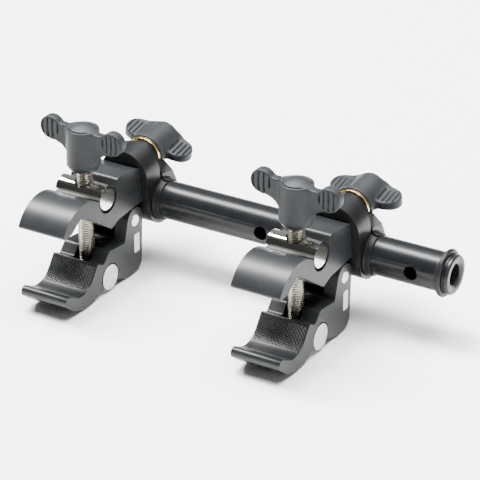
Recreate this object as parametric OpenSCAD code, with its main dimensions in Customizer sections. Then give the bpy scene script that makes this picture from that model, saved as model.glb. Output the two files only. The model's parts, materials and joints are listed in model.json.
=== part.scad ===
// Two jaw clamps on a round rod.
// Origin: centre of the rod's right end face, at the mouth of its threaded hole.
// +X runs out of the rod along its axis, +Z is up, and the jaws face -Y.
// Inside a clamp's modules, X = 0 is the middle of its jaws and the rod's axis is Y = Z = 0.

/* [Rod] */
// Outside diameter of the rod
rod_d = 19; // [19:0.5:20]
// Length of the rod, end face to end face
rod_length = 198; // [190:1:240]
// Diameter of the cross holes through the rod
cross_hole_d = 7; // [5:0.5:8]
// Distance from the end face to the first cross hole
cross_hole_inset = 19; // [17:0.5:22]
// Distance between two cross holes
cross_hole_pitch = 80; // [70:1:85]
// Diameter of the tapped hole in each end, measured at the thread's crests
end_thread_d = 10.2; // [8:0.1:11]

/* [Clamps] */
// Distance from the end face to the middle of the right clamp
first_clamp = 60.6; // [58:0.1:65]
// Distance between the middles of the two clamps
clamp_spacing = 115.9; // [105:0.1:118]
// Width of both jaws
jaw_w = 25.7; // [24:0.1:26]
// Diameter of the hinge pin
hinge_pin_d = 6.08; // [5:0.01:7]
// Outside diameter of the clamp screw
screw_d = 7.9; // [6:0.1:8]
// Diameter of the upper barrel, which the screw passes through
upper_barrel_d = 12.34; // [11:0.01:12.6]
// Diameter of the lower barrel, which is the screw's nut
lower_barrel_d = 12.66; // [11:0.01:12.9]

/* [Collar] */
// Lean of the collar's ears towards the jaws, in degrees
ear_lean = 6; // [4:0.5:8]
// Half the collar's width along the rod
collar_half = 13; // [12.5:0.1:13.5]
// Sideways offset of the collar from the middle of the jaws
collar_shift = 4; // [3.5:0.1:4.2]
// Width of the slit between the two ears
slit_w = 1.8; // [1:0.1:2.4]

/* [Knobs] */
// Distance from the T knob's axis to the middle of each paddle
t_paddle_x = 17.9; // [17:0.1:19]
// Distance from the wing knob's axis to the middle of each paddle
wing_paddle_x = 12; // [11.5:0.1:13]

/* [Hidden] */
$fn = 72;
SIDES = ["right", "left"];
ROD_NODES = ["rod_tube", "end_plug_right", "end_plug_left", "end_ring_right", "end_ring_left"];
CLAMP_NODES = [
    "rod_bush", "rod_clamp", "joining_bolt", "dowel_pins", "upper_jaw", "upper_jaw_pad", "hinge_pin",
    "lower_jaw", "lower_jaw_pad", "upper_barrel", "lower_barrel", "clamp_screw", "t_knob",
    "t_knob_insert", "wing_stud", "brass_washer", "wing_knob", "wing_knob_insert"
];

// radial clearance of a turning or sliding fit
fit = 0.05;
// clearance between curved faces that only pass or rest near each other
gap = 0.35;
// overlap of cutting shapes past the faces that they cut
past = 1;

// rod and its ends
rod_r = rod_d / 2;
tube_bore_r = 7.5;
shoulder_len = 7.2;
spigot_len = 6.8;
end_thread_r = end_thread_d / 2;
end_ring_r = 10.2;
end_ring_wire_r = 1.35;
end_ring_x = 4.5;

// collar and bush, with the ears' own frame leaning about the rod's axis
collar_left = collar_shift - collar_half;
collar_right = collar_shift + collar_half;
bush_wall = 1;
bush_bore_r = rod_r + fit;
bush_r = bush_bore_r + bush_wall;
collar_bore_r = bush_r + fit;
collar_r = 12.6;
ear_front = -12.2;
ear_round_z = 16.5;
boss_back = 5.6;
boss_r = 8;
spot_face_r = 10.2;
stud_x = 3.6;
stud_z = 18.5;
stud_r = 3;
washer_r = 9;
washer_t = 1.6;
bolt_z = 12;
bolt_r = 3;
bolt_head_r = 4.2;
bolt_head_front = -36;
bolt_head_back = -31.5;
bolt_end = -7.2;
hex_socket_r = 2.3;
dowel_r = 1.5;
dowel_x = 8;
dowel_end = -8.4;

// knobs, with heights measured from each knob's own base
knob_base_z = 29.3;
t_hub_r = 8.4;
t_hub_top = 21;
t_dome = 2.5;
t_paddle_z = 17.8;
t_paddle_r = 5.7;
t_paddle_t = 5.4;
t_stagger = 1;
t_turn = 0.5;
t_insert_r = 6;
t_insert_len = 17;
wing_foot_r = 9.8;
wing_foot_t = 2.4;
wing_hub_r = 8;
wing_hub_top = 20.2;
wing_dome = 2.7;
wing_paddle_z = 12.5;
wing_paddle_r = 6.6;
wing_paddle_t = 6;
wing_stagger = 0.8;
wing_insert_r = 5;
wing_insert_len = 15.4;
stud_front = -9.5;
stud_len = 30;

// points of the clamp's mechanism, as [y, z]
hinge = [-19.1, -5.06];
upper_axis = [-42.06, 17];
lower_axis = [-42, -25.56];
saddle_axis = [-41.4, 16];
saddle_r = 7.2;
seat_r = 7.05;
knuckle_r = 6.6;
tongue_r = 5.9;
tongue_w = 12;
cheek_gap = tongue_w + 0.5;
slot_w = 9.2;
barrel_hole_r = 4.8;
screw_top = 45.5;
screw_bottom = -28.6;
screw_chamfer = 0.8;
pad_t = 1.2;
pad_proud = 0.2;
pad_w = jaw_w - 1.6;

// Side outlines as corners [y, z, radius of the rounding]
UPPER_JAW_CORNERS = [
    [-80.1, 10, 1.2], [-66.5, 31.8, 20.2], [-47.2, 15.8, 0], [-35.6, 19.2, 0], [-33.4, 23.4, 2.4],
    [-23, 23.2, 6], [-14.46, 20.7, 0], [-12.56, 2.6, 0], [-33, 1.6, 3], [-39.4, -0.8, 1.5],
    [-63.6, 16.3, 4.5], [-72.4, 10.6, 4]
];
LOWER_JAW_CORNERS = [
    [-12.5, -5.06, 0], [-14.2, -31.4, 4.5], [-25, -33.7, 9], [-35.3, -30, 0.5], [-48.7, -28.7, 0.5],
    [-57, -32, 6], [-64, -32.7, 7], [-72.4, -30.4, 7], [-79.6, -24.6, 2.4], [-79.3, -19.3, 2.4],
    [-62.5, -28.3, 11.5], [-51.9, -14.3, 0.5], [-47, -16.9, 1.5], [-42, -11.7, 3], [-28.6, -13.5, 1.5],
    [-25.2, -1.8, 5], [-22.5, 0.5, 0]
];
// the bend in each jaw's gripping face, where its pad lies
UPPER_BEND = [UPPER_JAW_CORNERS[0], UPPER_JAW_CORNERS[11], UPPER_JAW_CORNERS[10]];
LOWER_BEND = [LOWER_JAW_CORNERS[9], LOWER_JAW_CORNERS[10], LOWER_JAW_CORNERS[11]];

function unit(v) = v / norm(v);

// points of the rounding at corner b, between corners a and c
function corner(a, b, c) =
    b[2] == 0 ? [[b[0], b[1]]] :
    let (p = [b[0], b[1]])
    let (to_a = unit([a[0], a[1]] - p))
    let (to_c = unit([c[0], c[1]] - p))
    let (half = acos(to_a * to_c) / 2)
    let (centre = p + unit(to_a + to_c) * b[2] / sin(half))
    let (start = p + to_a * b[2] / tan(half) - centre)
    let (end = p + to_c * b[2] / tan(half) - centre)
    let (from = atan2(start[1], start[0]))
    let (turn = (atan2(end[1], end[0]) - from + 540) % 360 - 180)
    let (steps = max(2, ceil(abs(turn) * (2 + b[2]) / 75)))
    [for (i = [0:steps]) centre + b[2] * [cos(from + turn * i / steps), sin(from + turn * i / steps)]];

function rounded(corners) =
    let (n = len(corners))
    [for (i = [0:n - 1]) each corner(corners[(i + n - 1) % n], corners[i], corners[(i + 1) % n])];

// a bend of three corners moved by d towards its inside, with legs of the given lengths
function moved_bend(bend, d, tip_leg, throat_leg) =
    let (p = [bend[1][0], bend[1][1]])
    let (to_tip = unit([bend[0][0], bend[0][1]] - p))
    let (to_throat = unit([bend[2][0], bend[2][1]] - p))
    let (half = acos(to_tip * to_throat) / 2)
    let (middle = p + unit(to_tip + to_throat) * d / sin(half))
    let (tip = middle + to_tip * (tip_leg - d / tan(half)))
    let (throat = middle + to_throat * (throat_leg - d / tan(half)))
    [[tip[0], tip[1], 0], [middle[0], middle[1], bend[1][2] - d], [throat[0], throat[1], 0]];

// a strip along a bend, from d0 to d1 towards its inside
function strip(bend, d0, d1, tip_leg, throat_leg) =
    let (near = moved_bend(bend, d0, tip_leg, throat_leg))
    let (far = moved_bend(bend, d1, tip_leg, throat_leg))
    rounded([near[0], near[1], near[2], far[2], far[1], far[0]]);

// turn of the wing knob about its own axis
function wing_turn(side) = side == "left" ? 13 : 0;

function clamp_x(side) = -first_clamp - (side == "left" ? clamp_spacing : 0);

module in_clamp(side) translate([clamp_x(side), 0, 0]) children();

// the ears' frame: its Z leans towards the jaws
module lean() rotate([ear_lean, 0, 0]) children();

// an outline given in [y, z], extruded along X and centred on X = 0
module side_extrude(width) rotate([90, 0, 90]) translate([0, 0, -width / 2]) linear_extrude(width) children();

// a cylinder along X through the [y, z] point
module x_cylinder(r, from, to, at = [0, 0]) translate([from, at[0], at[1]]) rotate([0, 90, 0])
    cylinder(r = r, h = to - from);

// a cylinder along Y through the [x, z] point
module y_cylinder(r, from, to, at = [0, 0]) translate([at[0], to, at[1]]) rotate([90, 0, 0])
    cylinder(r = r, h = to - from);

module box(low, high) translate(low) cube(high - low);

// places its children at the rod's right end, or mirrored at its left end
module at_end(side) {
    if (side == "right") children();
    else translate([-rod_length, 0, 0]) mirror([1, 0, 0]) children();
}

module rod_tube() color("#1c1e20") difference() {
    x_cylinder(rod_r, -rod_length + shoulder_len, -shoulder_len);
    x_cylinder(tube_bore_r, -rod_length, 0);
    for (i = [0:2]) y_cylinder(cross_hole_d / 2, -rod_r - past, rod_r + past,
        [-cross_hole_inset - i * cross_hole_pitch, 0]);
}

module end_plug(side) color("#202224") at_end(side) difference() {
    rotate([0, 90, 0]) rotate_extrude() polygon([
        [0, -shoulder_len - spigot_len], [tube_bore_r, -shoulder_len - spigot_len],
        [tube_bore_r, -shoulder_len], [rod_r, -shoulder_len], [rod_r, -5.9], [8.85, -5.9],
        [8.85, -3.1], [9.6, -3.1], [9.6, -2.3], [9, -2.3], [9, -1.6], [9.6, -1.6], [9.6, -0.6],
        [9, 0], [0, 0]
    ]);
    x_cylinder(end_thread_r, -shoulder_len - spigot_len - past, past);
    rotate([0, 90, 0]) translate([0, 0, -1]) cylinder(r1 = end_thread_r, r2 = end_thread_r + 1.7, h = 1.001);
}

module end_ring(side) color("#26282a") at_end(side) translate([-end_ring_x, 0, 0]) rotate([0, 90, 0])
    rotate_extrude() translate([end_ring_r, 0]) circle(r = end_ring_wire_r);

module rod_bush(side) color("#2a2c2e") in_clamp(side) difference() {
    rotate([0, 90, 0]) rotate_extrude() polygon([
        [bush_bore_r, collar_left - 2], [10.9, collar_left - 2], [11.4, collar_left - 0.1],
        [bush_r, collar_left - 0.1], [bush_r, collar_right + 0.1], [11, collar_right + 0.1],
        [11, collar_right + 0.8], [10.6, collar_right + 1.2], [10.3, collar_right + 3.4], [10, collar_right + 3.7],
        [bush_bore_r, collar_right + 3.7]
    ]);
    lean() box([collar_left - 3, -0.6, 0], [collar_right + 5, 0.6, 14]);
}

module front_ear() {
    y_cylinder(collar_half, ear_front, -slit_w / 2, [collar_shift, ear_round_z]);
    box([collar_left, ear_front, 0], [collar_right, -slit_w / 2, ear_round_z]);
}

module rear_ear() hull() {
    y_cylinder(boss_r, slit_w / 2, boss_back, [stud_x, stud_z], $fn = 32);
    translate([collar_shift, 0, 0]) side_extrude(2 * collar_half) polygon([
        [slit_w / 2, 0], [slit_w / 2, 13], [10.3, 10.7], [13.2, 3.1], [12.6, 0]
    ]);
}

module rod_clamp(side) color("#26292b") in_clamp(side) difference() {
    lean() {
        x_cylinder(collar_r, collar_left, collar_right);
        front_ear();
        rear_ear();
    }
    x_cylinder(collar_bore_r, collar_left - past, collar_right + past);
    lean() {
        box([collar_left - past, -slit_w / 2, 0], [collar_right + past, slit_w / 2, 32]);
        y_cylinder(stud_r + gap, 0, boss_back + past, [stud_x, stud_z]);
        y_cylinder(spot_face_r, boss_back, 20, [stud_x, stud_z]);
        y_cylinder(stud_r + fit, stud_front - 1.3, 0, [stud_x, stud_z]);
        y_cylinder(bolt_r, ear_front - past, bolt_end + 0.2, [0, bolt_z]);
        for (x = [-dowel_x, dowel_x]) y_cylinder(dowel_r, ear_front - past, dowel_end + 0.2, [x, bolt_z]);
    }
}

// the socket head sits in the wall behind the screw slot
module joining_bolt_shape(head_r, reach) {
    y_cylinder(bolt_r, bolt_head_back - 0.5, reach, [0, bolt_z]);
    y_cylinder(head_r, bolt_head_front, bolt_head_back, [0, bolt_z]);
}

module joining_bolt(side) color("#8d9194") in_clamp(side) lean() difference() {
    joining_bolt_shape(bolt_head_r, bolt_end);
    y_cylinder(hex_socket_r, bolt_head_front - past, bolt_head_front + 3, [0, bolt_z], $fn = 6);
}

module dowel_pins(side) color("#9a9ea1") in_clamp(side) lean()
    for (x = [-dowel_x, dowel_x]) y_cylinder(dowel_r, -20, dowel_end, [x, bolt_z]);

module upper_jaw(side) color("#3a3d40") in_clamp(side) difference() {
    union() {
        side_extrude(jaw_w) polygon(rounded(UPPER_JAW_CORNERS));
        x_cylinder(tongue_r, -tongue_w / 2, tongue_w / 2, hinge);
        box([-tongue_w / 2, hinge[0] - tongue_r, hinge[1]], [tongue_w / 2, -13.6, 4]);
    }
    x_cylinder(saddle_r, -jaw_w, jaw_w, saddle_axis);
    x_cylinder(hinge_pin_d / 2, -jaw_w, jaw_w, hinge);
    box([-slot_w / 2, -48.2, -5], [slot_w / 2, -35.8, 25]);
    upper_jaw_pad_shape();
    lean() {
        joining_bolt_shape(bolt_head_r + 0.1, 0);
        for (x = [-dowel_x, dowel_x]) y_cylinder(dowel_r, -20.2, 0, [x, bolt_z]);
    }
}

// let into the jaw's underside and standing a little proud of it
module upper_jaw_pad_shape() side_extrude(pad_w) polygon(strip(UPPER_BEND, -pad_proud, pad_t, 4.9, 3.6));

module upper_jaw_pad(side) color("#17181a") in_clamp(side) upper_jaw_pad_shape();

module hinge_pin(side) color("#c9ccc8") in_clamp(side)
    x_cylinder(hinge_pin_d / 2, -jaw_w / 2 - 0.3, jaw_w / 2 + 0.3, hinge);

// the knurled strip over the lower jaw's mouth
module lower_jaw_pad_shape() side_extrude(pad_w) polygon(strip(LOWER_BEND, pad_proud, -pad_t, 14, 16));

module lower_jaw_pad(side) color("#17181a") in_clamp(side) lower_jaw_pad_shape();

module lower_jaw(side) color("#3a3d40") in_clamp(side) difference() {
    union() {
        side_extrude(jaw_w) polygon(rounded(LOWER_JAW_CORNERS));
        x_cylinder(knuckle_r, -jaw_w / 2, jaw_w / 2, hinge);
    }
    x_cylinder(hinge_pin_d / 2 + fit, -jaw_w, jaw_w, hinge);
    x_cylinder(seat_r, -jaw_w, jaw_w, lower_axis);
    box([-cheek_gap / 2, -30, -12.4], [cheek_gap / 2, -5, 5]);
    box([-slot_w / 2, -51.5, -35], [slot_w / 2, -34, 0]);
    lower_jaw_pad_shape();
}

module upper_barrel(side) color("#d9d9d2") in_clamp(side) difference() {
    x_cylinder(upper_barrel_d / 2, -jaw_w / 2, jaw_w / 2, upper_axis);
    translate([0, upper_axis[0], 0]) cylinder(r = barrel_hole_r, h = 40);
}

module lower_barrel(side) color("#b9bcb8") in_clamp(side) difference() {
    x_cylinder(lower_barrel_d / 2, -jaw_w / 2 - 0.2, jaw_w / 2 + 0.2, lower_axis);
    translate([0, upper_axis[0], -40]) cylinder(r = screw_d / 2 + fit, h = 40);
}

module clamp_screw(side) color("#c4c6c0") in_clamp(side) translate([0, upper_axis[0], screw_bottom]) {
    cylinder(r1 = screw_d / 2 - screw_chamfer, r2 = screw_d / 2, h = screw_chamfer);
    translate([0, 0, screw_chamfer]) cylinder(r = screw_d / 2, h = screw_top - screw_bottom - screw_chamfer);
}

// one paddle and its web, standing out along +X; the knob's axis is Z
module paddle(x, z, r, t, hub_top) {
    y_cylinder(r, -t / 2, t / 2, [x, z]);
    rotate([90, 0, 0]) translate([0, 0, -t / 2]) linear_extrude(t) polygon([
        [0, z - 0.9 * r], [x * 0.55, z - 0.8 * r], [x, z - r * 0.9], [x, z + r * 0.9],
        [x * 0.6, hub_top - 0.8], [0, hub_top]
    ]);
}

// a moulded knob: a round hub with a domed top and two paddles, set to opposite sides of the axis
module paddle_knob(hub_r, hub_top, dome, x, z, r, t, stagger) {
    cylinder(r1 = hub_r - 1.2, r2 = hub_r, h = 2);
    translate([0, 0, 2]) cylinder(r = hub_r, h = hub_top - 2);
    translate([0, 0, hub_top]) cylinder(r1 = hub_r, r2 = hub_r * 0.55, h = dome);
    translate([0, stagger, 0]) paddle(x, z, r, t, hub_top);
    rotate([0, 0, 180]) translate([0, stagger, 0]) paddle(x, z, r, t, hub_top);
}

module t_knob(side) color("#5c6063") in_clamp(side) translate([0, upper_axis[0], knob_base_z])
    rotate([0, 0, t_turn]) difference() {
        paddle_knob(t_hub_r, t_hub_top, t_dome, t_paddle_x, t_paddle_z, t_paddle_r, t_paddle_t, t_stagger);
        translate([0, 0, -past]) cylinder(r = t_insert_r, h = t_insert_len + past);
    }

// a bush moulded into a knob, with a bore that stops short of its closed end
module insert(r, len, bore_r, end_wall) difference() {
    cylinder(r = r, h = len);
    translate([0, 0, -past]) cylinder(r = bore_r, h = len + past - end_wall);
}

module t_knob_insert(side) color("#b08d4a") in_clamp(side) translate([0, upper_axis[0], knob_base_z])
    insert(t_insert_r, t_insert_len, screw_d / 2 + fit, 0.5);

// children stand on the collar's ear, with the wing knob's axis as Z pointing away from the jaws
module on_stud(distance) lean() translate([stud_x, distance, stud_z]) rotate([-90, 0, 0]) children();

module wing_stud(side) color("#b9bcb8") in_clamp(side) on_stud(stud_front) cylinder(r = stud_r, h = stud_len);

module brass_washer(side) color("#c9a35a") in_clamp(side) on_stud(boss_back) difference() {
    cylinder(r = washer_r, h = washer_t);
    translate([0, 0, -past]) cylinder(r = stud_r + gap, h = washer_t + 2 * past);
}

module wing_knob(side) color("#56595c") in_clamp(side) on_stud(boss_back + washer_t) difference() {
    union() {
        cylinder(r = wing_foot_r, h = wing_foot_t);
        rotate([0, 0, wing_turn(side)]) paddle_knob(wing_hub_r, wing_hub_top, wing_dome, wing_paddle_x,
            wing_paddle_z, wing_paddle_r, wing_paddle_t, wing_stagger);
    }
    translate([0, 0, -past]) cylinder(r = wing_insert_r, h = wing_insert_len + past);
}

module wing_knob_insert(side) color("#b08d4a") in_clamp(side) on_stud(boss_back + washer_t)
    insert(wing_insert_r, wing_insert_len, stud_r + fit, 1.5);

rod_tube();
for (side = SIDES) {
    end_plug(side);
    end_ring(side);
    rod_bush(side);
    rod_clamp(side);
    joining_bolt(side);
    dowel_pins(side);
    upper_jaw(side);
    upper_jaw_pad(side);
    hinge_pin(side);
    lower_jaw(side);
    lower_jaw_pad(side);
    upper_barrel(side);
    lower_barrel(side);
    clamp_screw(side);
    t_knob(side);
    t_knob_insert(side);
    wing_stud(side);
    brass_washer(side);
    wing_knob(side);
    wing_knob_insert(side);
}
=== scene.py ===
"""Looks for the twin jaw clamp rod. Lengths are written in millimetres and scaled to metres by MM."""
import json
import math

import bmesh
import bpy
import numpy as np
from mathutils import Matrix, Vector

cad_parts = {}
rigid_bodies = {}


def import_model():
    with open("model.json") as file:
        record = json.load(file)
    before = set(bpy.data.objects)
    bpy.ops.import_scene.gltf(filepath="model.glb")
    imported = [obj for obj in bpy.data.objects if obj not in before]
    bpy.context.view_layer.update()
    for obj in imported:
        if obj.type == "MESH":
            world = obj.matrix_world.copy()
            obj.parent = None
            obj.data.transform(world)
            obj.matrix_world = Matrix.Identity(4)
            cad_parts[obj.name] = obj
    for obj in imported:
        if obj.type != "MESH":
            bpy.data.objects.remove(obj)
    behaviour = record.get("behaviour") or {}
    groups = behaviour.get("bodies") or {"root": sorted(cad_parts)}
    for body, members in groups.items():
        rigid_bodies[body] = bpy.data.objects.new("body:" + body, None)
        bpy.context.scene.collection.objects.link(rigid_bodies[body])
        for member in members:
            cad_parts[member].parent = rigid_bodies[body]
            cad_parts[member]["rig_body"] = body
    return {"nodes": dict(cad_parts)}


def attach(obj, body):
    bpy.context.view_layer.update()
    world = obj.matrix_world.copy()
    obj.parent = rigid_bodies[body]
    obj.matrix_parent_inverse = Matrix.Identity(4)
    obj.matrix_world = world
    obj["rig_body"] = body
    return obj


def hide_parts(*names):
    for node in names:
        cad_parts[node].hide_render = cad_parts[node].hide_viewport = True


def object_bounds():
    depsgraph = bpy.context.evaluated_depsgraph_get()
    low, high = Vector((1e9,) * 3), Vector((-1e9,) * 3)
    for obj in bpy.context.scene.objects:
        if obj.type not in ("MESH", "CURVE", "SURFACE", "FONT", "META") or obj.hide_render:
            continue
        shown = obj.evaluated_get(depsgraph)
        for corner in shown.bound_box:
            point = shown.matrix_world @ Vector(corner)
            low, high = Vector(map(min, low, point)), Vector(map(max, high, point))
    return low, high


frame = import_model()
cad_low, cad_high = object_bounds()
nodes = frame["nodes"]

MM = 0.001
CLAMP_X = {"right": -60.6, "left": -176.5}
ROD_LENGTH = 198.0
# points of the mechanism, as (y, z)
HINGE = (-19.1, -5.06)
LOWER_AXIS = (-42.0, -25.56)
SCREW_Y = -42.06
KNOB_BASE_Z = 29.3
EAR_LEAN = math.radians(6)
STUD_X = 3.6
STUD_Z = 18.5
BOSS_BACK = 5.6
WASHER_T = 1.6


# ---------------------------------------------------------------- materials

def new_material(name):
    mat = bpy.data.materials.new(name)
    mat.use_nodes = True
    tree = mat.node_tree
    return mat, tree, tree.nodes["Principled BSDF"]


def noise(tree, vector, size, detail=3.0, rough=0.55):
    node = tree.nodes.new("ShaderNodeTexNoise")
    node.inputs["Scale"].default_value = 1 / (size * MM)
    node.inputs["Detail"].default_value = detail
    node.inputs["Roughness"].default_value = rough
    tree.links.new(vector, node.inputs["Vector"])
    return node.outputs["Fac"]


def spread(tree, value, low, high, start=0.3, end=0.7):
    node = tree.nodes.new("ShaderNodeMapRange")
    node.inputs["From Min"].default_value = start
    node.inputs["From Max"].default_value = end
    node.inputs["To Min"].default_value = low
    node.inputs["To Max"].default_value = high
    tree.links.new(value, node.inputs["Value"])
    return node.outputs["Result"]


def colour_between(tree, value, dark, light):
    node = tree.nodes.new("ShaderNodeMix")
    node.data_type = "RGBA"
    node.inputs["A"].default_value = (*dark, 1)
    node.inputs["B"].default_value = (*light, 1)
    tree.links.new(value, node.inputs["Factor"])
    return node.outputs["Result"]


def bump(tree, height, depth, strength=1.0, after=None):
    node = tree.nodes.new("ShaderNodeBump")
    node.inputs["Distance"].default_value = depth * MM
    node.inputs["Strength"].default_value = strength
    tree.links.new(height, node.inputs["Height"])
    if after is not None:
        tree.links.new(after, node.inputs["Normal"])
    return node.outputs["Normal"]


def coordinates(tree, stretch=(1, 1, 1)):
    place = tree.nodes.new("ShaderNodeTexCoord").outputs["Object"]
    node = tree.nodes.new("ShaderNodeMapping")
    node.inputs["Scale"].default_value = stretch
    tree.links.new(place, node.inputs["Vector"])
    return node.outputs["Vector"]


PATCH_SIZE = 9.0


def finish(name, dark, light, metallic, rough, grain=0.2, depth=0.004, specular=0.5, stretch=(1, 1, 1)):
    """A surface with soft patches of colour and gloss, and a fine grain, with sizes in millimetres."""
    mat, tree, shader = new_material(name)
    place = coordinates(tree)
    patches = noise(tree, place, PATCH_SIZE)
    fine = noise(tree, coordinates(tree, stretch), grain, 4.0, 0.6)
    shader.inputs["Metallic"].default_value = metallic
    shader.inputs["Specular IOR Level"].default_value = specular
    colour = colour_between(tree, spread(tree, patches, 0, 1), dark, light)
    tree.links.new(colour, shader.inputs["Base Color"])
    tree.links.new(spread(tree, fine, rough[0], rough[1]), shader.inputs["Roughness"])
    tree.links.new(bump(tree, fine, depth), shader.inputs["Normal"])
    return mat


def turned(name, dark, light, rough, centre, pitch=0.35, depth=0.006):
    """Turned metal: fine rings about the X axis through centre, a (y, z) pair."""
    mat, tree, shader = new_material(name)
    place = tree.nodes.new("ShaderNodeTexCoord").outputs["Object"]
    move = tree.nodes.new("ShaderNodeVectorMath")
    move.operation = "SUBTRACT"
    move.inputs[1].default_value = (0, centre[0] * MM, centre[1] * MM)
    tree.links.new(place, move.inputs[0])
    flat = tree.nodes.new("ShaderNodeVectorMath")
    flat.operation = "MULTIPLY"
    flat.inputs[1].default_value = (0, 1, 1)
    tree.links.new(move.outputs["Vector"], flat.inputs[0])
    distance = tree.nodes.new("ShaderNodeVectorMath")
    distance.operation = "LENGTH"
    tree.links.new(flat.outputs["Vector"], distance.inputs[0])
    phase = tree.nodes.new("ShaderNodeMath")
    phase.operation = "MULTIPLY"
    phase.inputs[1].default_value = 2 * math.pi / (pitch * MM)
    tree.links.new(distance.outputs["Value"], phase.inputs[0])
    wave = tree.nodes.new("ShaderNodeMath")
    wave.operation = "SINE"
    tree.links.new(phase.outputs["Value"], wave.inputs[0])
    patches = noise(tree, place, 2.5)
    fine = noise(tree, place, 0.25, 4.0)
    shader.inputs["Metallic"].default_value = 1.0
    colour = colour_between(tree, spread(tree, patches, 0, 1), dark, light)
    tree.links.new(colour, shader.inputs["Base Color"])
    tree.links.new(spread(tree, fine, rough[0], rough[1]), shader.inputs["Roughness"])
    rings = bump(tree, wave.outputs["Value"], depth, 0.5)
    tree.links.new(bump(tree, fine, 0.003, 0.6, rings), shader.inputs["Normal"])
    return mat


rod_black = finish(
    "rod_black", dark=(0.005, 0.0055, 0.006), light=(0.008, 0.009, 0.01),
    metallic=0.0, rough=(0.22, 0.32), grain=0.12, depth=0.002, specular=0.22
)
end_black = finish(
    "end_black", dark=(0.007, 0.0075, 0.008), light=(0.012, 0.013, 0.014),
    metallic=0.0, rough=(0.26, 0.38), grain=0.15, depth=0.003, specular=0.25
)
ring_rubber = finish(
    "ring_rubber", dark=(0.006, 0.006, 0.007), light=(0.01, 0.01, 0.011),
    metallic=0.0, rough=(0.35, 0.5), grain=0.3, depth=0.01, specular=0.22
)
bush_plastic = finish(
    "bush_plastic", dark=(0.003, 0.003, 0.004), light=(0.006, 0.006, 0.007),
    metallic=0.0, rough=(0.4, 0.55), grain=0.3, depth=0.004, specular=0.15
)
collar_black = finish(
    "collar_black", dark=(0.004, 0.0045, 0.005), light=(0.007, 0.0075, 0.0085),
    metallic=0.0, rough=(0.28, 0.4), grain=0.18, depth=0.005, specular=0.2
)
jaw_grey = finish(
    "jaw_grey", dark=(0.01, 0.011, 0.012), light=(0.015, 0.0165, 0.018),
    metallic=0.0, rough=(0.3, 0.42), grain=0.16, depth=0.006, specular=0.3
)
pad_rubber = finish(
    "pad_rubber", dark=(0.009, 0.01, 0.011), light=(0.016, 0.017, 0.0185),
    metallic=0.0, rough=(0.3, 0.45), grain=0.35, depth=0.01, specular=0.35
)
knob_plastic = finish(
    "knob_plastic", dark=(0.012, 0.0135, 0.015), light=(0.018, 0.02, 0.022),
    metallic=0.0, rough=(0.42, 0.56), grain=0.3, depth=0.012, specular=0.22
)
nickel = finish(
    "nickel", dark=(0.68, 0.67, 0.62), light=(0.82, 0.81, 0.76),
    metallic=1.0, rough=(0.07, 0.14), grain=0.4, depth=0.0006, specular=0.5, stretch=(0.15, 1, 1)
)
thread_steel = finish(
    "thread_steel", dark=(0.42, 0.4, 0.34), light=(0.62, 0.6, 0.53),
    metallic=1.0, rough=(0.2, 0.36), grain=0.3, depth=0.003
)
# painted shade: a dark metal put on the floor of every thread, where shade falls between the ridges
thread_root_painted_shade = finish(
    "thread_root_painted_shade", dark=(0.03, 0.028, 0.024), light=(0.08, 0.075, 0.065),
    metallic=0.6, rough=(0.4, 0.6), grain=0.3, depth=0.004
)
plain_steel = finish(
    "plain_steel", dark=(0.4, 0.4, 0.39), light=(0.55, 0.55, 0.53),
    metallic=1.0, rough=(0.25, 0.4), grain=0.3, depth=0.004
)
brass = finish(
    "brass", dark=(0.78, 0.54, 0.2), light=(0.95, 0.74, 0.36),
    metallic=1.0, rough=(0.12, 0.26), grain=0.3, depth=0.003, specular=0.5, stretch=(1, 1, 0.3)
)
pale_patch = finish(
    "pale_patch", dark=(0.62, 0.63, 0.64), light=(0.7, 0.71, 0.72),
    metallic=0.0, rough=(0.35, 0.5), grain=0.3, depth=0.003
)
pin_metal = turned("pin_metal", (0.52, 0.52, 0.49), (0.68, 0.68, 0.64), (0.3, 0.45), HINGE)
nut_metal = turned("nut_metal", (0.56, 0.56, 0.53), (0.72, 0.72, 0.68), (0.34, 0.5), LOWER_AXIS, 0.5)


# ---------------------------------------------------------------- mesh making

def add_piece(name, mesh, mat, body, slot, *stands_for):
    """Links a mesh in the row frame, in metres, as a piece that rides on a body."""
    obj = bpy.data.objects.new(name, mesh)
    bpy.context.scene.collection.objects.link(obj)
    mesh.materials.clear()
    mesh.materials.append(mat)
    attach(obj, body)
    if stands_for:
        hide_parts(*stands_for)
    return obj


def mesh_from(name, verts, faces, matrix, sharp=40):
    """A smooth-shaded mesh from points in millimetres, moved by matrix and scaled to metres."""
    mesh = bpy.data.meshes.new(name)
    mesh.from_pydata([tuple(v) for v in verts], [], [tuple(f) for f in faces])
    mesh.transform(Matrix.Scale(MM, 4) @ matrix)
    bm = bmesh.new()
    bm.from_mesh(mesh)
    bmesh.ops.remove_doubles(bm, verts=bm.verts, dist=1e-7)
    bmesh.ops.recalc_face_normals(bm, faces=bm.faces)
    bm.to_mesh(mesh)
    bm.free()
    mesh.polygons.foreach_set("use_smooth", [True] * len(mesh.polygons))
    mesh.set_sharp_from_angle(angle=math.radians(sharp))
    return mesh


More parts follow.
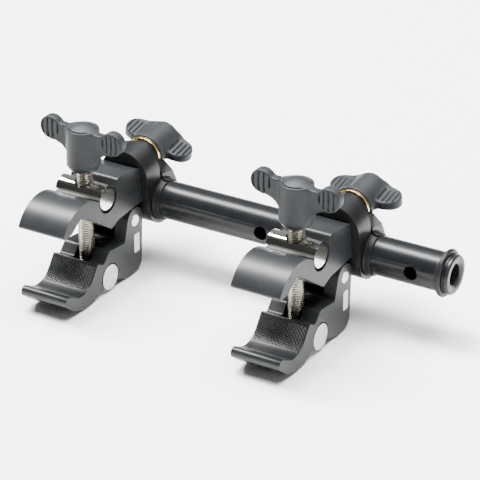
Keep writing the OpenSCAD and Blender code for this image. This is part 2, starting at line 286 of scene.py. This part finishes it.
def refined(node, mat, width, slot, segments=3, angle=32):
    """The CAD node's own shape with its corners rounded off."""
    source = nodes[node].data
    bm = bmesh.new()
    bm.from_mesh(source)
    bmesh.ops.remove_doubles(bm, verts=bm.verts, dist=2e-6)
    bmesh.ops.dissolve_limit(bm, angle_limit=math.radians(0.6), verts=bm.verts, edges=bm.edges)
    mesh = bpy.data.meshes.new("fine_" + node)
    bm.to_mesh(mesh)
    bm.free()
    mesh.polygons.foreach_set("use_smooth", [True] * len(mesh.polygons))
    mesh.set_sharp_from_angle(angle=math.radians(angle))
    obj = add_piece("fine_" + node, mesh, mat, nodes[node]["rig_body"], slot, node)
    round_off = obj.modifiers.new("round_off", "BEVEL")
    round_off.width = width * MM
    round_off.segments = segments
    round_off.limit_method = "ANGLE"
    round_off.angle_limit = math.radians(angle)
    round_off.harden_normals = True
    round_off.miter_outer = "MITER_ARC"
    return obj


def threaded(root_r, crest_r, pitch, low, high, end_r, steps=48):
    """Points and faces of a screw thread along Z between low and high, with its ends closed in to end_r."""
    shape = [(0.0, root_r), (0.3, root_r), (0.56, crest_r), (0.72, crest_r), (1.0, root_r)]
    turns = int(math.ceil((high - low) / pitch)) + 2
    verts, faces = [], []
    total = turns * steps
    for i in range(total + 1):
        a = 2 * math.pi * i / steps
        base = low - pitch + pitch * i / steps
        for share, r in shape:
            z = min(max(base + pitch * share, low), high)
            verts.append((r * math.cos(a), r * math.sin(a), z))
    n = len(shape)
    for i in range(total):
        for k in range(n - 1):
            p = i * n + k
            faces.append((p, p + n, p + n + 1, p + 1))
    for z in (low, high):
        start = len(verts)
        for r in (end_r, root_r):
            for i in range(steps):
                a = 2 * math.pi * i / steps
                verts.append((r * math.cos(a), r * math.sin(a), z))
        for i in range(steps):
            j = (i + 1) % steps
            faces.append((start + i, start + j, start + steps + j, start + steps + i))
    return verts, faces


# ---------------------------------------------------------------- moulded shapes

def smooth_min(a, b, k):
    h = np.clip(0.5 + 0.5 * (b - a) / k, 0, 1)
    return b * (1 - h) + a * h - k * h * (1 - h)


def rounded_pair(across, along, r):
    """Distance to a solid bounded by two distances, with its edge rounded to r."""
    u = across + r
    v = along + r
    return np.minimum(np.maximum(u, v), 0) + np.hypot(np.maximum(u, 0), np.maximum(v, 0)) - r


def outline_distance(u, v, corners):
    """Signed distance in a plane to a closed outline, negative inside."""
    best = np.full(u.shape, 1e9)
    inside = np.zeros(u.shape, bool)
    n = len(corners)
    for i in range(n):
        (ax, ay), (bx, by) = corners[i], corners[(i + 1) % n]
        ex, ey = bx - ax, by - ay
        t = np.clip(((u - ax) * ex + (v - ay) * ey) / (ex * ex + ey * ey), 0, 1)
        best = np.minimum(best, np.hypot(u - ax - t * ex, v - ay - t * ey))
        if ay != by:
            crossed = ((ay > v) != (by > v)) & (u < ex * (v - ay) / ey + ax)
            inside ^= crossed
    return np.where(inside, -best, best)


def paddle_field(x, y, z, spec, lines, up):
    """One paddle along +X with its web, and grooves at the given distances outwards from its middle."""
    round_end = np.hypot(x - spec["x"], z - spec["z"]) - spec["r"]
    web = outline_distance(x, z, spec["web"])
    plan = smooth_min(round_end, web, 1.2)
    away = np.clip((x - spec["neck"]) / (spec["x"] - spec["neck"]), 0, 1)
    thick = spec["web_t"] + (spec["t"] - spec["web_t"]) * away * away * (3 - 2 * away)
    thick = thick + spec["flare"] * (z - spec["z"])
    bowed = x - spec["x"] + spec["bow"] * (z - spec["z"]) ** 2
    ribs = np.zeros(x.shape)
    for line in lines:
        ribs = np.maximum(ribs, np.clip(1.4 - np.abs(bowed - line) / spec["groove_w"], 0, 1))
    reach = np.clip((spec["groove_end"] - (z - spec["z"])) / 0.8, 0, 1)
    grooved = (round_end < spec["groove_edge"]) & (spec["both_faces"] | (up * (y - spec["offset"]) < 0))
    face = np.abs(y - spec["offset"]) - thick / 2 + spec["groove_d"] * ribs * reach * grooved
    return rounded_pair(plan, face, spec["round"])


def hub_field(radius, z, spec):
    """The hub with its chamfered foot, raised rim and low dome inside the rim."""
    skirt = spec["skirt"] * np.clip(1 - z / spec["skirt_h"], 0, 1)
    hub_r = spec["hub_r"] - spec["draft"] * z / spec["top"] - skirt
    half = spec["top"] / 2
    hub = rounded_pair(radius - hub_r, np.abs(z - half) - half, spec["hub_round"])
    share = np.clip(radius / spec["cap_r"], 0, 1)
    dome = np.maximum(z - spec["top"] - spec["dome"] * (1 - share ** 2), radius - spec["cap_r"])
    dome = np.maximum(dome, spec["top"] - 4 - z)
    groove = np.hypot(radius - spec["cap_r"], z - spec["top"]) - spec["rim_groove"]
    return np.maximum(np.minimum(hub, dome), -groove)


def knob_field(p, spec):
    """The whole knob: hub, two paddles set opposite each other, foot and bore."""
    x, y, z = p[..., 0], p[..., 1], p[..., 2]
    radius = np.hypot(x, y)
    body = hub_field(radius, z, spec)
    for sign, lines in zip((1, -1), spec["grooves"]):
        arm = paddle_field(sign * x, sign * y, z, spec, lines, sign)
        body = smooth_min(body, arm, spec["fillet"])
    if "foot_r" in spec:
        foot = rounded_pair(radius - spec["foot_r"], np.abs(z - spec["foot_t"] / 2) - spec["foot_t"] / 2, 0.5)
        body = smooth_min(body, foot, 0.8)
    bore = np.maximum(radius - spec["bore_r"], z - spec["bore_top"])
    return np.maximum(np.maximum(body, -z), -bore)


def surface_net(field, low, high, step):
    """Points and faces of the zero surface of a field over a box, one point in each crossed cell."""
    axes = [np.arange(low[i], high[i] + step, step) for i in range(3)]
    grid = np.stack(np.meshgrid(*axes, indexing="ij"), -1)
    value = field(grid)
    shape = np.array(value.shape)
    total = np.zeros((*(shape - 1), 3))
    count = np.zeros(shape - 1)
    crossings = []
    for axis in range(3):
        near = [slice(None)] * 3
        far = [slice(None)] * 3
        near[axis] = slice(0, -1)
        far[axis] = slice(1, None)
        a, b = value[tuple(near)], value[tuple(far)]
        crossed = (a < 0) != (b < 0)
        share = np.where(crossed, a / np.where(a == b, 1, a - b), 0)
        point = grid[tuple(near)].copy()
        point[..., axis] += share * step
        crossings.append((crossed, a < 0))
        others = [i for i in range(3) if i != axis]
        for p in (0, 1):
            for q in (0, 1):
                part = [slice(None)] * 3
                for other, off in zip(others, (p, q)):
                    part[other] = slice(off, shape[other] - 1 + off)
                m = crossed[tuple(part)]
                total += point[tuple(part)] * m[..., None]
                count += m
    active = count > 0
    index = np.full(active.shape, -1)
    index[active] = np.arange(active.sum())
    verts = total[active] / count[active][:, None]
    for _ in range(2):
        verts = on_surface(field, verts)
    faces = []
    for axis in range(3):
        crossed, starts_in = crossings[axis]
        others = [i for i in range(3) if i != axis]
        where = np.argwhere(crossed)
        keep = np.all(where[:, others] > 0, axis=1)
        keep &= np.all(where[:, others] < (shape - 1)[others], axis=1)
        where = where[keep]
        ring = []
        for p, q in ((0, 0), (1, 0), (1, 1), (0, 1)):
            cell = where.copy()
            cell[:, others[0]] -= 1 - p
            cell[:, others[1]] -= 1 - q
            ring.append(index[tuple(cell.T)])
        quad = np.stack(ring, 1)
        flip = starts_in[tuple(where.T)] == (axis == 1)
        quad[flip] = quad[flip][:, ::-1]
        faces.append(quad)
    return verts, np.concatenate(faces)


def on_surface(field, verts, h=0.02):
    """Moves points along the field's slope onto its zero surface."""
    value = field(verts)
    slope = np.empty_like(verts)
    for axis in range(3):
        ahead = verts.copy()
        ahead[:, axis] += h
        slope[:, axis] = (field(ahead) - value) / h
    size = np.maximum((slope ** 2).sum(1), 0.25)
    step = np.clip(value / size, -0.15, 0.15)
    return verts - slope * step[:, None]


def moulded(name, spec, matrix, mat, body, slot, *stands_for):
    """A moulded knob made from its field."""
    half_x = spec["x"] + spec["r"] + 1
    half_y = max(spec["hub_r"], spec.get("foot_r", 0)) + 1
    low = (-half_x, -half_y, -0.8)
    high = (half_x, half_y, max(spec["top"] + spec["dome"], spec["z"] + spec["r"]) + 1)
    step = 0.35
    verts, faces = surface_net(lambda p: knob_field(p, spec), low, high, step)
    mesh = mesh_from(name, verts, faces, matrix, 50)
    return add_piece(name, mesh, mat, body, slot, *stands_for)


# A knob's sizes, measured from its base: the hub with its skirt, dome and rim, then the paddles' middle,
# radius and thickness, the web from hub to paddle as (x, z) corners, the grooves' places along each
# paddle, and the bore for the insert.
T_KNOB = {
    "hub_r": 8.3, "draft": 0.3, "skirt": 1.7, "skirt_h": 2.6, "hub_round": 0.6, "top": 21.2,
    "dome": 2.2, "cap_r": 6.9, "rim_groove": 0.4,
    "x": 18.0, "z": 17.6, "r": 5.8, "t": 5.2, "web_t": 4.8, "neck": 9.0, "offset": -1.4, "flare": 0.0,
    "round": 0.9, "fillet": 2.2, "bow": 0.012, "groove_w": 0.42, "groove_d": 0.8, "groove_end": 7.0,
    "groove_edge": -0.8, "both_faces": True,
    "web": [(0, 4), (8.4, 5.5), (9.8, 7.8), (12, 10), (15.5, 11.5), (18, 11.8), (18, 20.5), (0, 20.7)],
    "grooves": ((-4.6, -2.2, 0.3, 2.9), (-4.4, -1.5, 1.3, 4.0)),
    "bore_r": 6.0, "bore_top": 17.0,
}
WING_KNOB = {
    "hub_r": 8.2, "draft": 0.4, "skirt": 0.0, "skirt_h": 1.0, "hub_round": 2.6, "top": 20.6,
    "dome": 2.1, "cap_r": 5.6, "rim_groove": 0.0,
    "x": 12.0, "z": 12.5, "r": 6.5, "t": 5.2, "web_t": 6.0, "neck": 5.0, "offset": 0.5, "flare": 0.16,
    "round": 0.9, "fillet": 3.0, "bow": 0.0, "groove_w": 0.5, "groove_d": 0.7, "groove_end": 4.4,
    "groove_edge": -0.6, "both_faces": False,
    "web": [(0, 3.5), (6, 5.2), (12, 6.0), (12, 19.0), (6.5, 21.2), (0, 21.6)],
    "grooves": ((-2.8, -0.4, 2.0, 4.4), (-2.8, -0.4, 2.0, 4.4)),
    "foot_r": 9.7, "foot_t": 2.2, "bore_r": 5.0, "bore_top": 15.4,
}
T_TURN = math.radians(0.5)
WING_TURN = {"right": 0.0, "left": math.radians(13)}


# ---------------------------------------------------------------- knurled pad

LOWER_BEND = ((-79.3, -19.3), (-62.5, -28.3), (-51.9, -14.3))
BEND_R = 11.5
# lengths of pad on each side of the bend's corner
TIP_LEG = 14.0
THROAT_LEG = 16.0
PAD_HALF = 12.05
PAD_SINK = 0.2
PAD_DEPTH = 1.0
KNURL_HEIGHT = 0.42
PLAIN_HEIGHT = 0.32
# distances of the plain grooves from the lip
LIP_GROOVES = (5.2, 2.6)
# pitch of the diamonds, and how far they run from the throat
KNURL = 1.8
KNURL_UNTIL = 12.8


def bend_path(step):
    """Points along the lower jaw's bend with their normals, from the throat to the tip, as (y, z) pairs."""
    tip, low, throat = (Vector(p) for p in LOWER_BEND)
    to_tip = (tip - low).normalized()
    to_throat = (throat - low).normalized()
    half = to_tip.angle(to_throat) / 2
    leg = BEND_R / math.tan(half)
    centre = low + (to_tip + to_throat).normalized() * BEND_R / math.sin(half)
    turn = math.pi - 2 * half
    lengths = (THROAT_LEG - leg, BEND_R * turn, TIP_LEG - leg)
    count = int(round(sum(lengths) / step))
    from_throat = (low + to_throat * leg) - centre
    points = []
    for i in range(count + 1):
        s = sum(lengths) * i / count
        if s <= lengths[0]:
            place = low + to_throat * (THROAT_LEG - s)
            inward = -from_throat
        elif s <= lengths[0] + lengths[1]:
            a = -(s - lengths[0]) / BEND_R
            arm = Matrix.Rotation(a, 2) @ from_throat
            place = centre + arm
            inward = -arm
        else:
            place = low + to_tip * (leg + s - lengths[0] - lengths[1])
            inward = centre - (low + to_tip * leg)
        points.append((place, inward.normalized(), s))
    return points


def knurl_height(x, s, length):
    """Height of a diamond knurl that ends at KNURL_UNTIL, with two plain grooves near the lip."""
    u = ((x + s) / KNURL) % 1
    v = ((x - s) / KNURL) % 1
    peak = min(1 - abs(2 * u - 1), 1 - abs(2 * v - 1)) * 2
    body = min(1, peak) * KNURL_HEIGHT
    if s > KNURL_UNTIL:
        body = PLAIN_HEIGHT
        for line in LIP_GROOVES:
            body -= KNURL_HEIGHT * max(0, 1 - abs(s - length + line) / 0.5)
    return body


def knurled_pad(side):
    """The knurled strip in the lower jaw's mouth, with walls down into the jaw and no underside."""
    step = KNURL / 6
    path = bend_path(step)
    columns = int(round(2 * PAD_HALF / step))
    verts, faces = [], []
    for place, inward, s in path:
        for k in range(columns + 1):
            x = -PAD_HALF + 2 * PAD_HALF * k / columns
            lift = knurl_height(x, s, path[-1][2]) - PAD_SINK
            point = place + inward * lift
            verts.append((x, point.x, point.y))
    n = columns + 1
    rows = len(path)
    for i in range(rows - 1):
        for k in range(columns):
            p = i * n + k
            faces.append((p, p + 1, p + n + 1, p + n))
    rim = list(range(n))
    rim += [i * n + n - 1 for i in range(1, rows)]
    rim += [(rows - 1) * n + k for k in range(n - 2, -1, -1)]
    rim += [i * n for i in range(rows - 2, 0, -1)]
    start = len(verts)
    for v in rim:
        place, inward, _ = path[v // n]
        under = place - inward * PAD_DEPTH
        verts.append((verts[v][0], under.x, under.y))
    for i in range(len(rim)):
        j = (i + 1) % len(rim)
        faces.append((rim[i], rim[j], start + j, start + i))
    mesh = mesh_from("knurl_pad_" + side, verts, faces, Matrix.Translation((CLAMP_X[side], 0, 0)), 25)
    node = "lower_jaw_pad_" + side
    return add_piece("knurl_pad_" + side, mesh, pad_rubber, nodes[node]["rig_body"], "pad_black", node)


# ---------------------------------------------------------------- screws

# root radius, crest radius and pitch
M8 = (3.1, 3.93, 1.25)
M6 = (2.45, 2.97, 1.0)
END_THREAD = (5.95, 5.15, 1.75)
SCREW_ENDS = (-28.6, 45.5)
STUD_FRONT = -9.5
STUD_LEN = 30
END_THREAD_ENDS = (-13.9, -1.05)


def threaded_screw(name, node, matrix, root_r, crest_r, pitch, low, high, mat, slot):
    """A screw with real ridges; the floor of its thread gets a darker material, which is painted shade
    between the ridges.
    """
    verts, faces = threaded(root_r, crest_r, pitch, low, high, 0.0)
    mesh = mesh_from(name, verts, faces, matrix, 35)
    obj = add_piece(name, mesh, mat, nodes[node]["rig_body"], slot, node)
    mesh.materials.append(thread_root_painted_shade)
    own_frame = (Matrix.Scale(MM, 4) @ matrix).inverted()
    # faces at the thread's root get the painted shade material
    for face in mesh.polygons:
        centre = own_frame @ face.center
        at_root = math.hypot(centre.x, centre.y) < root_r + 0.1
        if at_root and low < centre.z < high:
            face.material_index = 1
    return obj


def stud_frame(side, distance):
    """The wing knob's frame: Z along its axis away from the jaws, from the washer's seat."""
    lean = Matrix.Rotation(EAR_LEAN, 4, "X")
    place = Matrix.Translation((STUD_X, distance, STUD_Z))
    upright = Matrix.Rotation(-math.pi / 2, 4, "X")
    return Matrix.Translation((CLAMP_X[side], 0, 0)) @ lean @ place @ upright


# ---------------------------------------------------------------- assembly

LABEL_MIDDLE = (-18.1, -17.5)
LABEL_HALF = (2.2, 4.9)
LABEL_R = 0.9
LABEL_FACES_X = (12.75, 12.97)


def label_patch(side):
    """A small blank pale patch on the outer side of the lower jaw."""
    verts, faces, ring = [], [], []
    for sy, sz, start in ((-1, 1, 180), (1, 1, 90), (1, -1, 0), (-1, -1, -90)):
        y = LABEL_MIDDLE[0] + sy * (LABEL_HALF[0] - LABEL_R)
        z = LABEL_MIDDLE[1] + sz * (LABEL_HALF[1] - LABEL_R)
        for i in range(5):
            a = math.radians(start - 22.5 * i)
            ring.append((y + LABEL_R * math.cos(a), z + LABEL_R * math.sin(a)))
    for x in LABEL_FACES_X:
        verts += [(x, y, z) for y, z in ring]
    n = len(ring)
    faces.append(tuple(range(n, 2 * n)))
    faces += [(i, (i + 1) % n, n + (i + 1) % n, n + i) for i in range(n)]
    name = "label_patch_" + side
    mesh = mesh_from(name, verts, faces, Matrix.Translation((CLAMP_X[side], 0, 0)), 30)
    return add_piece(name, mesh, pale_patch, nodes["lower_jaw_" + side]["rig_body"], "pin_steel")


def build_clamp(side):
    """Every piece of one clamp."""
    knob_bodies = [nodes[part + side]["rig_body"] for part in ("t_knob_", "wing_knob_")]
    refined("upper_jaw_" + side, jaw_grey, 0.45, "jaw_grey")
    refined("lower_jaw_" + side, jaw_grey, 0.45, "jaw_grey")
    refined("rod_clamp_" + side, collar_black, 0.4, "collar_black")
    refined("rod_bush_" + side, bush_plastic, 0.15, "bush_black", 2)
    refined("upper_barrel_" + side, nickel, 0.4, "plated_barrel")
    refined("lower_barrel_" + side, nut_metal, 0.4, "pin_steel")
    refined("hinge_pin_" + side, pin_metal, 0.35, "pin_steel")
    refined("brass_washer_" + side, brass, 0.2, "brass")
    refined("upper_jaw_pad_" + side, pad_rubber, 0.15, "pad_black", 2)
    knurled_pad(side)
    label_patch(side)
    upright = Matrix.Translation((CLAMP_X[side], SCREW_Y, 0))
    threaded_screw("screw_thread_" + side, "clamp_screw_" + side, upright, *M8, *SCREW_ENDS,
                   thread_steel, "screw_steel")
    threaded_screw("stud_thread_" + side, "wing_stud_" + side, stud_frame(side, STUD_FRONT), *M6, 0, STUD_LEN,
                   thread_steel, "screw_steel")
    t_place = upright @ Matrix.Translation((0, 0, KNOB_BASE_Z)) @ Matrix.Rotation(T_TURN, 4, "Z")
    wing_place = stud_frame(side, BOSS_BACK + WASHER_T) @ Matrix.Rotation(WING_TURN[side], 4, "Z")
    moulded("t_knob_moulded_" + side, T_KNOB, t_place, knob_plastic,
            knob_bodies[0], "knob_grey", "t_knob_" + side)
    moulded("wing_knob_moulded_" + side, WING_KNOB, wing_place, knob_plastic,
            knob_bodies[1], "knob_grey", "wing_knob_" + side)
    for part in ("joining_bolt", "dowel_pins", "t_knob_insert"):
        paint(nodes[part + "_" + side], plain_steel)
    paint(nodes["wing_knob_insert_" + side], brass)


def paint(obj, mat):
    """Gives a CAD node, kept as it is, its material."""
    obj.data.materials.clear()
    obj.data.materials.append(mat)


def end_thread(side):
    """The thread inside the rod's end; the left end mirrors the right one."""
    place = Matrix.Rotation(math.pi / 2, 4, "Y")
    if side == "left":
        place = Matrix.Translation((-ROD_LENGTH, 0, 0)) @ Matrix.Scale(-1, 4, (1, 0, 0)) @ place
    verts, faces = threaded(*END_THREAD, *END_THREAD_ENDS, END_THREAD[0], 64)
    mesh = mesh_from("end_thread_" + side, verts, faces, place, 35)
    add_piece("end_thread_" + side, mesh, end_black, "rod", "rod_black")


def build_rod():
    """The rod, its end plugs and rings, and the threads in its ends."""
    refined("rod_tube", rod_black, 0.5, "rod_black", 2)
    for side in ("right", "left"):
        refined("end_plug_" + side, end_black, 0.15, "rod_black", 2)
        paint(nodes["end_ring_" + side], ring_rubber)
        end_thread(side)


build_rod()
for each in CLAMP_X:
    build_clamp(each)


# ---------------------------------------------------------------- studio

TARGET = (-115.85, 0, -11.87)
DISTANCE = 1210.2
AZIMUTH = math.radians(31.02)
ELEVATION = math.radians(27.29)
ROLL = math.radians(-0.344)


def make_camera():
    """A long lens from the front right, above the object."""
    target = Vector(TARGET) * MM
    level = math.cos(ELEVATION)
    back = Vector((math.sin(AZIMUTH) * level, -math.cos(AZIMUTH) * level, math.sin(ELEVATION)))
    data = bpy.data.cameras.new("camera")
    data.sensor_width = 36
    data.lens = 187.9
    data.clip_start = 0.05
    data.clip_end = 20
    camera = bpy.data.objects.new("camera", data)
    bpy.context.scene.collection.objects.link(camera)
    aim = (-back).to_track_quat("-Z", "Y").to_matrix().to_4x4()
    place = Matrix.Translation(target + back * DISTANCE * MM)
    camera.matrix_world = place @ aim @ Matrix.Rotation(ROLL, 4, "Z")
    bpy.context.scene.camera = camera


def soft_light(name, place, aim, size, watts):
    """A rectangular soft light, with its place, aim and size in metres."""
    data = bpy.data.lights.new(name, "AREA")
    data.shape = "RECTANGLE"
    data.size = size[0]
    data.size_y = size[1]
    data.energy = watts
    light = bpy.data.objects.new(name, data)
    bpy.context.scene.collection.objects.link(light)
    light.location = place
    light.rotation_euler = (Vector(aim) - Vector(place)).to_track_quat("-Z", "Y").to_euler()


def make_floor():
    """A pale floor just under the object."""
    size = 6.0
    z = cad_low.z - 0.2 * MM
    mesh = bpy.data.meshes.new("floor")
    corners = [(-size, -size, z), (size, -size, z), (size, size, z), (-size, size, z)]
    mesh.from_pydata(corners, [], [(0, 1, 2, 3)])
    mat, tree, shader = new_material("floor_pale")
    shader.inputs["Base Color"].default_value = (0.9, 0.9, 0.9, 1)
    shader.inputs["Roughness"].default_value = 0.9
    shader.inputs["Specular IOR Level"].default_value = 0.1
    mesh.materials.append(mat)
    floor = bpy.data.objects.new("floor", mesh)
    bpy.context.scene.collection.objects.link(floor)


def make_world():
    """Dim light all round, darker towards the front of the object."""
    world = bpy.data.worlds.new("studio")
    world.use_nodes = True
    tree = world.node_tree
    direction = tree.nodes.new("ShaderNodeTexCoord").outputs["Generated"]
    parts = tree.nodes.new("ShaderNodeSeparateXYZ")
    tree.links.new(direction, parts.inputs["Vector"])
    shade = spread(tree, parts.outputs["Y"], 0.05, 0.38, -0.5, 0.8)
    tree.links.new(shade, tree.nodes["Background"].inputs["Color"])
    tree.nodes["Background"].inputs["Strength"].default_value = 1.0
    bpy.context.scene.world = world


make_camera()
make_floor()
make_world()
soft_light("overhead", (0.1, 0.35, 2.5), (0, 0.35, 0), (2.4, 2.2), 300)
soft_light("long", (-1.35, 0.12, 2.5), (-0.1, 0, 0), (0.75, 1.9), 300)
soft_light("side", (1.6, -0.5, 0.7), (-0.1, -0.02, 0.0), (0.8, 0.8), 6)
